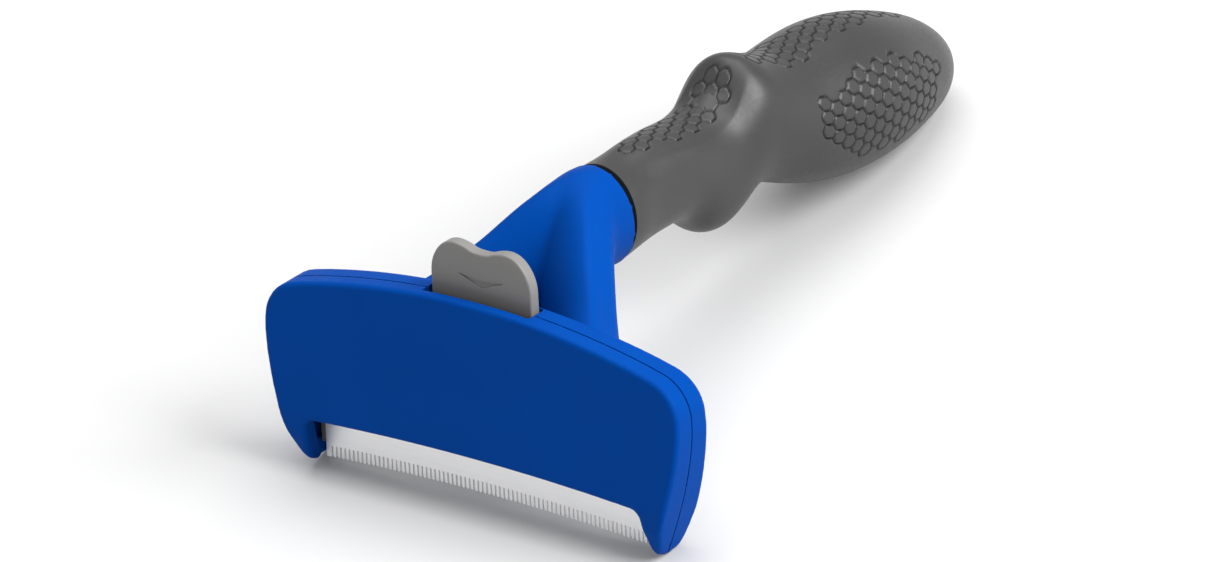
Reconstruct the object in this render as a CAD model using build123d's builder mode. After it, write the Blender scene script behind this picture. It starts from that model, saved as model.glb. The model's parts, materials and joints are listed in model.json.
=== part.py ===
from build123d import *
import math
import os

# Deshedding tool: a wide comb head on a moulded handle, with a push-button plate that wipes the
# blade clean.  Millimetres, +Z up.  The tool lies on a table as it does in use: on the tips of the
# two legs at the head and on the belly of the grip.  The origin is on the table, midway along it.

os.makedirs("parts", exist_ok=True)

# ---- driving dimensions -------------------------------------------------------------------------
BLADE_WIDTH = 101.6          # a 4 inch cutting edge
TOOTH_PITCH = 1.325
TOOTH_COUNT = 76
TOOTH_LENGTH = 3.0
BLADE_THICKNESS = 0.8
EDGE_RADIUS = 757.0          # the cutting edge is a shallow arch
HEAD_HALF_WIDTH = 63.2
HEAD_TOP = 40.6
HEAD_TOP_RADIUS = 228.0
LEG_TIP = -15.4
FRONT_DEPTH = 7.6            # parting face to front face, level with the cover's lower edge
REAR_DEPTH = 7.9
WALL = 2.2
TRAVEL = 4.5                 # stroke of the push button
REST_LEAN = 12.64            # the parting face leans back by this when the tool lies on a table
GRIP_ANGLE = 4.2             # the grip's axis droops this much from the parting face's normal
REAR_TAPER = 3.6
HEAD_AHEAD = 91.25           # the parting face's foot, ahead of the origin
HEAD_ABOVE = 15.07           # and above the table
COLLAR = 52.6                # stations along the grip are counted from the front face
COLLAR_HEIGHT = 47.9
COLLAR_HALF_WIDTH = 11.6
COLLAR_HALF_HEIGHT = 12.7
SOCKET_RADIUS = 8.5
SOCKET_END = 40.0
SKIN = 2.6                   # thickness of the soft grip
HANG_HOLE_STATION = 184.0
HANG_HOLE_RADIUS = 2.2

# ---- planes -------------------------------------------------------------------------------------
# HEAD is the parting face: local x is across the tool, y is up the head, z is towards the front.
lean = math.radians(REST_LEAN)
HEAD = Plane(
    origin=(0, -HEAD_AHEAD, HEAD_ABOVE),
    x_dir=(1, 0, 0),
    z_dir=(0, -math.cos(lean), math.sin(lean)),
)
# SIDE cuts the head down the middle: local x is towards the front, y is up the head.
SIDE = Plane(origin=HEAD.origin, x_dir=HEAD.z_dir, z_dir=(-1, 0, 0))
# GRIP is the flat front face.  Sections of the grip are on GRIP.offset(-station).
droop = math.radians(GRIP_ANGLE)
GRIP = Plane(
    origin=HEAD.from_local_coords((0, FRONT_DEPTH * math.sin(droop), FRONT_DEPTH * math.cos(droop))),
    x_dir=(1, 0, 0),
    z_dir=(0, -math.cos(lean + droop), math.sin(lean + droop)),
)
taper = math.radians(REAR_TAPER)
REAR = Plane(
    origin=HEAD.from_local_coords((0, 0, -REAR_DEPTH)),
    x_dir=(1, 0, 0),
    z_dir=(0, -math.cos(lean - taper), math.sin(lean - taper)),
)


def level(height):
    """The plane across the head at a height above the parting face's foot."""
    return Plane(origin=HEAD.from_local_coords((0, height, 0)), x_dir=(1, 0, 0), z_dir=HEAD.y_dir)


def top_at(x):
    """Height of the head's arched top."""
    return HEAD_TOP - HEAD_TOP_RADIUS + math.sqrt(HEAD_TOP_RADIUS**2 - x**2)


def edge_at(x, crown):
    """Height of a shallow arch that crowns at the middle of the blade."""
    return crown - EDGE_RADIUS + math.sqrt(EDGE_RADIUS**2 - x**2)


def save(part, name):
    part.label = name
    export_step(part, f"parts/{name}.step")


# ---- head outline -------------------------------------------------------------------------------
RECESS = BLADE_WIDTH / 2 + 0.2
TIP_OUTER = 54.4
TIP_INNER = 51.8


def head_outline(plane):
    """The head seen from the front: arched top, legs at both ends and the blade's recess."""
    side = HEAD_HALF_WIDTH
    with BuildSketch(plane) as outline:
        with BuildLine():
            ThreePointArc((-side, top_at(side)), (0, HEAD_TOP), (side, top_at(side)))
            right = Spline((side, top_at(side)), (side - 0.8, 12), (side - 4.3, -4), (TIP_OUTER, LEG_TIP))
            mirror(right, about=Plane.YZ)
            Line((TIP_OUTER, LEG_TIP), (TIP_INNER, LEG_TIP))
            Line((-TIP_OUTER, LEG_TIP), (-TIP_INNER, LEG_TIP))
            Line((TIP_INNER, LEG_TIP), (RECESS, edge_at(RECESS, 0.5)))
            Line((-TIP_INNER, LEG_TIP), (-RECESS, edge_at(RECESS, 0.5)))
            ThreePointArc((-RECESS, edge_at(RECESS, 0.5)), (0, 0.5), (RECESS, edge_at(RECESS, 0.5)))
        make_face()
        corners = outline.vertices()
        fillet(corners.filter_by_position(Axis.Y, top_at(side) - 0.01, top_at(side) + 0.01), 10.5)
        corners = outline.vertices()
        tips = corners.filter_by_position(Axis.Y, LEG_TIP - 0.01, LEG_TIP + 0.01)
        fillet(tips, 1.2)
        inner = outline.vertices().filter_by_position(Axis.Y, -3, 0)
        fillet(inner.filter_by_position(Axis.X, -RECESS - 1, RECESS + 1), 3.0)
    return outline.sketch


# ---- front cover --------------------------------------------------------------------------------
FRONT_INNER = GRIP.offset(-WALL)
REAR_INNER = REAR.offset(WALL)
CHANNEL = 54.8               # half width of the channel for the ends of the wiper plate
LIP_HEIGHT = 2.6
SLOT_HALF_WIDTH = 16.4
SLOT_FRONT = 2.2
SLOT_BACK = -4.1
BLADE_SCREWS = [(-42, 5.2), (-14, 5.2), (14, 5.2), (42, 5.2)]
COVER_SCREWS = [(-50, 23.5), (-8, 17), (8, 17), (50, 23.5)]
SPRING_AT = 32
SPRING_FRONT = 0.9           # spring axis, in front of the parting face
SEAT_TOP = 11.2
POST_RADIUS = 1.2
LEDGE_BOTTOM = 22.0
RAIL_FRONT = 0.5
BLADE_FRONT = -0.5
BLADE_TOP = 8.4
PLATE_FRONT = -1.6
PLATE_BACK = -3.4
SCREW_RADIUS = 1.0
COVER_SCREW_RADIUS = 1.25
COVER_SCREW_SINK = 1.9       # how deep the screw heads' seats are below the rear face
EDGE_ROUND = 1.1
REAR_ROUND = 1.2
NECK_SCREW_STATION = 44.5
NECK_SCREW_SEAT = 38.0


def pocket_outline(plane, margin):
    """The hollow inside the head, above the lip of the recess."""
    side = HEAD_HALF_WIDTH - margin
    with BuildSketch(plane) as pocket:
        with BuildLine():
            ThreePointArc((-side, top_at(side) - margin), (0, HEAD_TOP - margin), (side, top_at(side) - margin))
            Polyline(
                (side, top_at(side) - margin),
                (side - 0.8, 12),
                (CHANNEL, 0),
                (CHANNEL, edge_at(CHANNEL, LIP_HEIGHT)),
            )
            ThreePointArc(
                (CHANNEL, edge_at(CHANNEL, LIP_HEIGHT)),
                (0, LIP_HEIGHT),
                (-CHANNEL, edge_at(CHANNEL, LIP_HEIGHT)),
            )
            Polyline(
                (-CHANNEL, edge_at(CHANNEL, LIP_HEIGHT)),
                (-CHANNEL, 0),
                (-side + 0.8, 12),
                (-side, top_at(side) - margin),
            )
        make_face()
        corners = pocket.vertices().filter_by_position(Axis.Y, top_at(side) - margin - 0.01, 99)
        fillet(corners, 8)
    return pocket.sketch


def post(plane, at, radius, height, mode=Mode.ADD):
    """A round boss, or with SUBTRACT a round hole, on a plane of the part being built."""
    with BuildSketch(plane) as ring:
        with Locations(at):
            Circle(radius)
    extrude(ring.sketch, amount=height, mode=mode)


with BuildPart() as front_pocket:
    extrude(pocket_outline(HEAD, WALL + 0.2), amount=12)
    split(bisect_by=FRONT_INNER, keep=Keep.BOTTOM)

with BuildPart() as front_leg_cut:
    with BuildSketch(SIDE):
        with BuildLine():
            Polyline((14, -3), (8.4, -4), (7.4, -10.4))
            ThreePointArc((7.4, -10.4), (6.2, -12.9), (3.6, -14.3))
            Polyline((3.6, -14.3), (0.5, -15.1), (-0.5, -16), (14, -16), (14, -3))
        make_face()
    extrude(amount=70, both=True)

with BuildPart() as front_channel:
    with BuildSketch(SIDE):
        Polygon((-1, 12), (3.9, 12), (3.9, -2), (0.2, -12.2), (-1, -12.2), align=None)
    extrude(amount=CHANNEL, both=True)

with BuildPart() as button_slot:
    with BuildSketch(level(20)):
        with Locations((0, (SLOT_FRONT + SLOT_BACK) / -2)):
            RectangleRounded(2 * SLOT_HALF_WIDTH, SLOT_FRONT - SLOT_BACK, 1.2)
    extrude(amount=30)

with BuildPart() as front_cover:
    extrude(head_outline(HEAD), amount=12)
    split(bisect_by=GRIP, keep=Keep.BOTTOM)
    front_edges = front_cover.faces().sort_by(Axis(GRIP.origin, GRIP.z_dir))[-1].edges()
    fillet(front_edges, EDGE_ROUND)
    add(front_leg_cut.part, mode=Mode.SUBTRACT)
    add(front_pocket.part, mode=Mode.SUBTRACT)
    add(front_channel.part, mode=Mode.SUBTRACT)
    # Bosses for the blade's screws, and taller ones that meet the rear shell's.
    for blade_at in BLADE_SCREWS:
        post(HEAD.offset(RAIL_FRONT), blade_at, 3.0, 5.7)
    for cover_at in COVER_SCREWS:
        post(HEAD, cover_at, 3.3, 5)
    # Spring seats: ledges under the springs, each with a post that the spring stands on.
    for side in (-1, 1):
        with BuildSketch(level(SEAT_TOP)):
            with Locations((side * SPRING_AT, -2.2)):
                Rectangle(6.4, 7.0)
        extrude(amount=-2.0)
        with BuildSketch(level(SEAT_TOP)):
            with Locations((side * SPRING_AT, -SPRING_FRONT)):
                Circle(POST_RADIUS)
        extrude(amount=4.0)
    for blade_at in BLADE_SCREWS:
        post(HEAD.offset(RAIL_FRONT), blade_at, SCREW_RADIUS + 0.01, 3.8, Mode.SUBTRACT)
    for cover_at in COVER_SCREWS:
        post(HEAD, cover_at, COVER_SCREW_RADIUS + 0.01, 3.2, Mode.SUBTRACT)
    add(button_slot.part, mode=Mode.SUBTRACT)
save(front_cover.part, "front_cover")


# ---- blade and its backing rail -----------------------------------------------------------------
with BuildPart() as blade_rail:
    with BuildSketch(HEAD.offset(RAIL_FRONT)):
        with BuildLine():
            Polyline((-50, 0.8), (-50, BLADE_TOP), (50, BLADE_TOP), (50, 0.8))
            ThreePointArc((50, 0.8), (0, 2.4), (-50, 0.8))
        make_face()
        with Locations(BLADE_SCREWS):
            Circle(SCREW_RADIUS + 0.1, mode=Mode.SUBTRACT)
    extrude(amount=BLADE_FRONT - RAIL_FRONT)
save(blade_rail.part, "blade_rail")


def tooth_gap(index):
    """Centre of one gullet and the height of the arch there."""
    x = (index - (TOOTH_COUNT - 2) / 2) * TOOTH_PITCH
    return x, edge_at(x, TOOTH_TIP)


TOOTH_TIP = -12.2
GULLET_WIDTH = 0.5
with BuildPart() as blade:
    with BuildSketch(HEAD.offset(BLADE_FRONT)):
        half = BLADE_WIDTH / 2
        with BuildLine():
            Polyline((half, edge_at(half, TOOTH_TIP)), (half, BLADE_TOP), (-half, BLADE_TOP))
            Line((-half, BLADE_TOP), (-half, edge_at(half, TOOTH_TIP)))
            ThreePointArc(
                (-half, edge_at(half, TOOTH_TIP)),
                (0, TOOTH_TIP),
                (half, edge_at(half, TOOTH_TIP)),
            )
        make_face()
        with Locations(BLADE_SCREWS):
            Circle(SCREW_RADIUS + 0.1, mode=Mode.SUBTRACT)
        for index in range(TOOTH_COUNT - 1):
            gap_x, gap_tip = tooth_gap(index)
            with Locations((gap_x, gap_tip + TOOTH_LENGTH / 2 - 0.5)):
                SlotOverall(TOOTH_LENGTH + 1.0, GULLET_WIDTH, rotation=90, mode=Mode.SUBTRACT)
            # The mouth of each gullet flares, so that the teeth have blunt, rounded tips.
            with Locations((gap_x, gap_tip)):
                RectangleRounded(GULLET_WIDTH + 0.36, 0.5, 0.17, mode=Mode.SUBTRACT)
    extrude(amount=-BLADE_THICKNESS)
save(blade.part, "blade")


# ---- screws -------------------------------------------------------------------------------------
def screw(plane, radius, length, head_radius, head_height):
    """A pan-head screw: the shank runs along the plane's normal from the head's seat."""
    with BuildPart() as fastener:
        with BuildSketch(plane):
            Circle(radius)
        extrude(amount=length)
        with BuildSketch(plane):
            Circle(head_radius)
        extrude(amount=-head_height)
        top = fastener.faces().sort_by(Axis(plane.origin, plane.z_dir))[0]
        fillet(top.edges(), head_height * 0.35)
        with BuildSketch(plane.offset(-head_height)):
            Rectangle(head_radius * 1.1, head_radius * 0.3)
            Rectangle(head_radius * 0.3, head_radius * 1.1)
        extrude(amount=head_height * 0.5, mode=Mode.SUBTRACT)
    return fastener.part


blade_back = BLADE_FRONT - BLADE_THICKNESS
for number, (screw_x, screw_y) in enumerate(BLADE_SCREWS, start=1):
    seat = Plane(HEAD.from_local_coords((screw_x, screw_y, blade_back)), x_dir=(1, 0, 0), z_dir=HEAD.z_dir)
    save(screw(seat, SCREW_RADIUS, 5.0, 2.0, 1.3), f"blade_screw_{number}")

for number, (screw_x, screw_y) in enumerate(COVER_SCREWS, start=1):
    depth = -REAR_DEPTH + math.tan(taper) * screw_y + COVER_SCREW_SINK
    seat = Plane(HEAD.from_local_coords((screw_x, screw_y, depth)), x_dir=(1, 0, 0), z_dir=HEAD.z_dir)
    save(screw(seat, COVER_SCREW_RADIUS, 2.8 - depth, 2.3, 1.6), f"cover_screw_{number}")


# ---- push button and wiper plate ----------------------------------------------------------------
BUTTON_HALF = 15.3
BUTTON_TOP = 53.8
BUTTON_FRONT = -0.4
BUTTON_THICKNESS = 3.3
with BuildPart() as ejector_slider:
    with BuildSketch(HEAD.offset(PLATE_FRONT)):
        with BuildLine():
            root = TOOTH_TIP + TOOTH_LENGTH + 0.2
            wiper = BLADE_WIDTH / 2 - 0.4
            ThreePointArc((-wiper, edge_at(wiper, root)), (0, root), (wiper, edge_at(wiper, root)))
            outer = Polyline(
                (wiper, edge_at(wiper, root)),
                (CHANNEL - 1.8, edge_at(wiper, root)),
                (CHANNEL - 1.8, -4.6),
                (CHANNEL - 0.5, -3.6),
                (CHANNEL - 0.5, 14.8),
                (37, 14.8),
                (37, 26),
                (BUTTON_HALF, 26),
                (BUTTON_HALF, 36),
            )
            mirror(outer, about=Plane.YZ)
            Line((-BUTTON_HALF, 36), (BUTTON_HALF, 36))
        make_face()
        # Windows for the screw bosses and screw heads, long enough for the stroke.
        for blade_at in BLADE_SCREWS:
            with Locations((blade_at[0], blade_at[1] + TRAVEL / 2)):
                SlotOverall(5.0 + TRAVEL, 5.0, rotation=90, mode=Mode.SUBTRACT)
        with Locations((0, 17 + TRAVEL / 2)):
            RectangleRounded(24.4, 7.6 + TRAVEL, 2, mode=Mode.SUBTRACT)
    extrude(amount=PLATE_BACK - PLATE_FRONT)
    # The button: two thumb lobes with a dip between them.
    with BuildSketch(HEAD.offset(BUTTON_FRONT)):
        with BuildLine():
            shoulder = BUTTON_TOP - 9.5
            Polyline((-BUTTON_HALF, shoulder), (-BUTTON_HALF, 30), (BUTTON_HALF, 30), (BUTTON_HALF, shoulder))
            lobe = Spline(
                (BUTTON_HALF, shoulder),
                (13.7, BUTTON_TOP - 3.7),
                (11.0, BUTTON_TOP - 0.9),
                (7.8, BUTTON_TOP),
                (3.6, BUTTON_TOP - 0.9),
                (0, BUTTON_TOP - 1.5),
                tangents=[(0, 1), (-1, 0)],
            )
            mirror(lobe, about=Plane.YZ)
        make_face()
    extrude(amount=-BUTTON_THICKNESS)
    rims = ejector_slider.edges().filter_by(lambda e: HEAD.to_local_coords(e.center()).Y > shoulder)
    fillet(rims.filter_by(lambda e: abs(e.tangent_at(0).dot(HEAD.z_dir)) < 0.1), 0.5)
    # A plain arrowhead sunk in the button's face points the way it is pressed.
    with BuildSketch(HEAD.offset(BUTTON_FRONT)):
        Polygon((-7, 46), (0, 43.2), (7, 46), (0, 45.2), align=None)
    extrude(amount=-0.35, mode=Mode.SUBTRACT)
    # Ledges that the return springs push up.
    for side in (-1, 1):
        with BuildSketch(level(LEDGE_BOTTOM)):
            with Locations((side * SPRING_AT, 0.1)):
                Rectangle(6.4, 6.6)
        extrude(amount=1.8)
save(ejector_slider.part, "ejector_slider")


# ---- return springs -----------------------------------------------------------------------------
WIRE = 0.25
COIL = 1.9
TURNS = 7
for side, name in ((-1, "return_spring_left"), (1, "return_spring_right")):
    foot = level(SEAT_TOP + WIRE + 0.05)
    coil_height = LEDGE_BOTTOM - SEAT_TOP - 2 * WIRE - 0.1
    middle = foot.from_local_coords((side * SPRING_AT, -SPRING_FRONT, 0))
    with BuildPart() as spring:
        with BuildLine() as wire:
            Helix(coil_height / TURNS, coil_height, COIL, center=middle, direction=HEAD.y_dir)
        with BuildSketch(Plane(wire.line @ 0, z_dir=wire.line % 0)):
            Circle(WIRE)
        sweep(is_frenet=True)
    save(spring.part, name)


# ---- rear shell with its forked neck ------------------------------------------------------------
def grip_section(station, across, height, half_width, half_height):
    """One oval section of the neck or grip."""
    with BuildSketch(GRIP.offset(-station)) as section:
        with Locations((across, height)):
            Ellipse(half_width, half_height)
    return section.sketch


# The neck forks into two arms that spread to the back of the head, and leave a notch for the thumb
# behind the button.  Each row: station, distance from the middle, height, half width, half height.
ARM = [
    (COLLAR, 0, COLLAR_HEIGHT, COLLAR_HALF_WIDTH, COLLAR_HALF_HEIGHT),
    (45, 0.3, 47.6, 11.8, 12.9),
    (35, 6.4, 41.8, 12.3, 13.0),
    (27, 13.3, 32.7, 11.4, 13.5),
    (19, 20.8, 24.7, 10.9, 13.9),
    (8, 29.0, 18.0, 11.0, 14.2),
]

with BuildPart() as neck_arm:
    loft([grip_section(*row) for row in ARM])
    split(bisect_by=REAR_INNER, keep=Keep.BOTTOM)
    split(bisect_by=Plane.YZ, keep=Keep.TOP)

with BuildPart() as forked_neck:
    add(neck_arm.part)
    mirror(neck_arm.part, about=Plane.YZ)
    post(GRIP.offset(-COLLAR), (0, COLLAR_HEIGHT), SOCKET_RADIUS, COLLAR - SOCKET_END, Mode.SUBTRACT)

with BuildPart() as rear_pocket:
    extrude(pocket_outline(HEAD, WALL + 0.2), amount=-12)
    split(bisect_by=REAR_INNER, keep=Keep.TOP)

with BuildPart() as rear_leg_cut:
    with BuildSketch(SIDE):
        with BuildLine():
            Polyline((-14, -4), (-8.2, -5), (-7.6, -9.4))
            ThreePointArc((-7.6, -9.4), (-6.0, -13.0), (-3.0, -14.7))
            Polyline((-3.0, -14.7), (-0.5, -15.1), (0.5, -16), (-14, -16), (-14, -4))
        make_face()
    extrude(amount=70, both=True)

with BuildPart() as rear_channel:
    with BuildSketch(SIDE):
        Polygon((1, 14), (PLATE_BACK - 0.4, 14), (PLATE_BACK - 0.4, -9.8), (1, -9.8), align=None)
    extrude(amount=CHANNEL, both=True)
    with BuildSketch(SIDE):
        Polygon((-1.3, 0), (PLATE_BACK - 0.4, 0), (PLATE_BACK - 0.4, -17), (-1.3, -17), align=None)
    extrude(amount=CHANNEL - 1.3, both=True)

with BuildPart() as rear_shell:
    extrude(head_outline(HEAD), amount=-12)
    split(bisect_by=REAR, keep=Keep.TOP)
    rear_edges = rear_shell.faces().sort_by(Axis(REAR.origin, REAR.z_dir))[0].edges()
    fillet(rear_edges, REAR_ROUND)
    add(rear_leg_cut.part, mode=Mode.SUBTRACT)
    add(rear_pocket.part, mode=Mode.SUBTRACT)
    for cover_at in COVER_SCREWS:
        post(HEAD, cover_at, 3.3, -5)
    add(rear_channel.part, mode=Mode.SUBTRACT)
    add(forked_neck.part)
    add(button_slot.part, mode=Mode.SUBTRACT)
    for cover_at in COVER_SCREWS:
        depth = -REAR_DEPTH + math.tan(taper) * cover_at[1] + COVER_SCREW_SINK
        post(HEAD, cover_at, COVER_SCREW_RADIUS + 0.2, -12, Mode.SUBTRACT)
        post(HEAD.offset(depth), cover_at, 2.6, -14, Mode.SUBTRACT)
    # The screw that holds the grip's spigot, in from below.
    screw_floor = Plane(
        GRIP.from_local_coords((0, NECK_SCREW_SEAT, -NECK_SCREW_STATION)),
        x_dir=(1, 0, 0),
        z_dir=GRIP.y_dir,
    )
    post(screw_floor, (0, 0), COVER_SCREW_RADIUS + 0.2, 4, Mode.SUBTRACT)
    post(screw_floor, (0, 0), 2.8, -6, Mode.SUBTRACT)
save(rear_shell.part, "rear_shell")
save(screw(screw_floor, COVER_SCREW_RADIUS, 9.0, 2.4, 1.6), "neck_screw")


# ---- grip ---------------------------------------------------------------------------------------
# Each row: station, top, underside and half width of the soft grip.
PROFILE = [
    (56.5, 60.8, 35.9, 11.4),
    (62, 61.6, 36.7, 11.0),
    (69, 62.8, 37.7, 10.9),
    (75, 63.6, 38.2, 11.1),
    (80, 64.0, 38.1, 11.4),
    (84, 64.1, 36.2, 11.7),
    (88, 64.3, 33.2, 12.1),
    (92, 65.0, 31.5, 12.5),
    (96, 66.8, 31.6, 12.9),
    (100, 70.4, 33.6, 13.4),
    (104, 73.4, 36.6, 14.0),
    (108, 73.5, 38.5, 14.6),
    (112, 72.1, 38.7, 15.3),
    (117, 70.6, 37.2, 16.0),
    (123, 69.4, 35.2, 17.0),
    (130, 69.6, 33.2, 18.2),
    (138, 70.4, 31.8, 19.3),
    (146, 70.6, 31.2, 19.8),
    (154, 69.9, 31.4, 19.5),
    (162, 68.3, 32.2, 18.4),
    (170, 65.9, 33.6, 16.6),
    (178, 62.6, 35.9, 13.9),
    (184, 59.6, 38.2, 11.4),
    (189, 57.0, 40.8, 8.6),
    (192, 55.2, 43.2, 6.2),
]


def grip_body(inset, first, last):
    """The grip's form between two stations, inset evenly all round."""
    rows = [row for row in PROFILE if first <= row[0] <= last]
    return loft(
        [
            grip_section(station, 0, (top + low) / 2, half - inset, (top - low) / 2 - inset)
            for station, top, low, half in rows
        ],
        mode=Mode.PRIVATE,
    )


with BuildPart() as hang_hole:
    hole_floor = Plane(
        GRIP.from_local_coords((0, 30, -HANG_HOLE_STATION)), x_dir=(1, 0, 0), z_dir=GRIP.y_dir
    )
    with BuildSketch(hole_floor):
        Circle(HANG_HOLE_RADIUS)
    extrude(amount=40)

with BuildPart() as core_form:
    add(grip_body(SKIN, 56, 185))
    post(GRIP.offset(-SOCKET_END - 0.3), (0, COLLAR_HEIGHT), SOCKET_RADIUS - 0.05, -22)

with BuildPart() as grip_sleeve:
    add(grip_body(0, 56, 200))
    # A short lip where the grip meets the collar.
    lip = [(COLLAR + 0.5, 61.3, 34.6, 12.3), (COLLAR + 2.4, 61.3, 34.7, 12.2), PROFILE[0]]
    loft([grip_section(y, 0, (top + low) / 2, half, (top - low) / 2) for y, top, low, half in lip], ruled=True)
    fillet(grip_sleeve.faces().sort_by(Axis(GRIP.origin, GRIP.z_dir))[0].edges(), 4.0)
    add(core_form.part, mode=Mode.SUBTRACT)
    add(hang_hole.part, mode=Mode.SUBTRACT)
save(grip_sleeve.part, "grip_sleeve")

CORE_SPLIT = 48.4
CORE_SCREWS = [118, 160]
core_split_plane = Plane(GRIP.from_local_coords((0, CORE_SPLIT, 0)), x_dir=(1, 0, 0), z_dir=GRIP.y_dir)
CORE_SEAT = -6.0

with BuildPart() as core_hollow:
    add(grip_body(SKIN + 2.4, 66, 176))
    for station in CORE_SCREWS:
        post(core_split_plane, (0, station), 3.6, 30, Mode.SUBTRACT)
        post(core_split_plane, (0, station), 3.6, -30, Mode.SUBTRACT)

for name, kept in (("handle_core_upper", Keep.TOP), ("handle_core_lower", Keep.BOTTOM)):
    with BuildPart() as core_half:
        add(core_form.part)
        add(core_hollow.part, mode=Mode.SUBTRACT)
        add(hang_hole.part, mode=Mode.SUBTRACT)
        for station in CORE_SCREWS:
            post(core_split_plane.offset(CORE_SEAT), (0, station), SCREW_RADIUS + 0.01, 13.0, Mode.SUBTRACT)
            post(core_split_plane.offset(CORE_SEAT), (0, station), 2.3, -20, Mode.SUBTRACT)
        post(screw_floor, (0, 0), COVER_SCREW_RADIUS + 0.01, 9.4, Mode.SUBTRACT)
        split(bisect_by=core_split_plane, keep=kept)
    save(core_half.part, name)

for number, station in enumerate(CORE_SCREWS, start=1):
    seat = Plane(
        GRIP.from_local_coords((0, CORE_SPLIT + CORE_SEAT, -station)), x_dir=(1, 0, 0), z_dir=GRIP.y_dir
    )
    save(screw(seat, SCREW_RADIUS, 12.5, 1.9, 1.3), f"core_screw_{number}")
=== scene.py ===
import json
import math

import bmesh
import bpy
import numpy as np
from mathutils import Matrix, Vector


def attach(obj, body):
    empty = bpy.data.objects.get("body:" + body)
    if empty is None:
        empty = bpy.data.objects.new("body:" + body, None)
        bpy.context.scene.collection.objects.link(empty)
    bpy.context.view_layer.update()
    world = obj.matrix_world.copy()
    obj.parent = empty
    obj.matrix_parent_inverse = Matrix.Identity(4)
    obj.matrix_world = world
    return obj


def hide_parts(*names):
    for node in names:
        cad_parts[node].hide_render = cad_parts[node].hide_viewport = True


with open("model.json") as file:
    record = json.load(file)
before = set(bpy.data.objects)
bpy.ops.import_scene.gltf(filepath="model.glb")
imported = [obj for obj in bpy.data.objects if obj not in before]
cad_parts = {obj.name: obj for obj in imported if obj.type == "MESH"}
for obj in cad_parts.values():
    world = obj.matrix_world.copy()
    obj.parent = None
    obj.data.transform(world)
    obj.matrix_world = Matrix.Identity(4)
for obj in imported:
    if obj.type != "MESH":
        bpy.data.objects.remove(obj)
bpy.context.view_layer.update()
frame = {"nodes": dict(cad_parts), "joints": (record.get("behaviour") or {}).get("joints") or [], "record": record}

# Deshedding tool.  Shapes are worked out in millimetres in two frames of the tool: HEAD, whose x is
# across, y up the head and z to the front from the parting face, and GRIP, whose y is up the front
# face and whose stations run back along the grip from that face.
MM = 0.001
record = frame["record"]
nodes = frame["nodes"]
mounts = {mount["name"]: mount for mount in record["mounts"]}
FRONT_DEPTH = 7.6
FACE_MARK = 20.0             # height of the front face's mount above the front face's foot
head_up = -np.array(frame["joints"][0]["axis"])
head_front = np.array([0.0, -head_up[2], head_up[1]])
grip_front = np.array(mounts["front_face"]["axis"])
grip_up = np.array(mounts["hang_hole"]["axis"])
grip_foot = np.array(mounts["front_face"]["pos_m"]) / MM - FACE_MARK * grip_up
head_foot = grip_foot - FRONT_DEPTH * grip_front
DROOP = math.acos(float(np.dot(head_front, grip_front)))
ACROSS = np.array([1.0, 0.0, 0.0])


def from_head(points):
    """HEAD coordinates in millimetres to the row frame in metres."""
    x, y, z = points.T
    return (head_foot + np.outer(x, ACROSS) + np.outer(y, head_up) + np.outer(z, head_front)) * MM


def from_grip(x, height, station):
    """GRIP coordinates in millimetres to the row frame in metres."""
    raised = grip_foot + np.outer(x, ACROSS) + np.outer(height, grip_up)
    return (raised - np.outer(station, grip_front)) * MM


def grip_of_head(y, z):
    """Height and station in GRIP of a point in HEAD."""
    y = y - FRONT_DEPTH * math.sin(DROOP)
    z = z - FRONT_DEPTH * math.cos(DROOP)
    return y * math.cos(DROOP) - z * math.sin(DROOP), -y * math.sin(DROOP) - z * math.cos(DROOP)


# ---- solids from distance functions -------------------------------------------------------------
def meet(a, b, radius):
    """Intersection with a rounded edge."""
    return np.minimum(np.maximum(a + radius, b + radius), 0) + np.hypot(
        np.maximum(a + radius, 0), np.maximum(b + radius, 0)
    ) - radius


def join(a, b, radius):
    """Union with a blended corner."""
    h = np.clip(0.5 + 0.5 * (b - a) / radius, 0, 1)
    return b + (a - b) * h - radius * h * (1 - h)


def step(x, start, end):
    """Rises smoothly from 0 at the start to 1 at the end, which may be the lower one."""
    t = np.clip((x - start) / (end - start), 0, 1)
    return t * t * (3 - 2 * t)


def polygon_distance(px, py, corners):
    """Signed distance to a closed polygon, negative inside."""
    best = np.full(px.shape, 1e18)
    inside = np.zeros(px.shape, bool)
    for (x0, y0), (x1, y1) in zip(corners, np.roll(corners, -1, axis=0)):
        ex, ey = x1 - x0, y1 - y0
        t = np.clip(((px - x0) * ex + (py - y0) * ey) / (ex * ex + ey * ey + 1e-12), 0, 1)
        best = np.minimum(best, (px - x0 - t * ex) ** 2 + (py - y0 - t * ey) ** 2)
        if y0 != y1:
            crosses = ((y0 > py) != (y1 > py)) & (px < x0 + (py - y0) * ex / ey)
            inside ^= crosses
    return np.where(inside, -1, 1) * np.sqrt(best)


class Field:
    """A polygon's distance kept on a fine grid, so that it is quick to look up."""

    def __init__(self, corners, low, high, pitch=0.2):
        self.low, self.pitch = low, pitch
        xs = np.arange(low[0], high[0] + pitch, pitch)
        ys = np.arange(low[1], high[1] + pitch, pitch)
        gx, gy = np.meshgrid(xs, ys, indexing="ij")
        self.values = polygon_distance(gx, gy, np.array(corners, float))

    def __call__(self, x, y):
        u = (x - self.low[0]) / self.pitch
        v = (y - self.low[1]) / self.pitch
        i = np.clip(u.astype(int), 0, self.values.shape[0] - 2)
        j = np.clip(v.astype(int), 0, self.values.shape[1] - 2)
        a, b = u - i, v - j
        g = self.values
        near = g[i, j] * (1 - a) + g[i + 1, j] * a
        far = g[i, j + 1] * (1 - a) + g[i + 1, j + 1] * a
        return near * (1 - b) + far * b


CREASE_REACH = 0.05          # how far round a point its normal is measured
PULL_TO_MIDDLE = 0.04        # keeps a cell's vertex steady where its surface is flat
CELL_MARGIN = 0.1            # part of a cell by which its vertex may leave it


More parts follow.
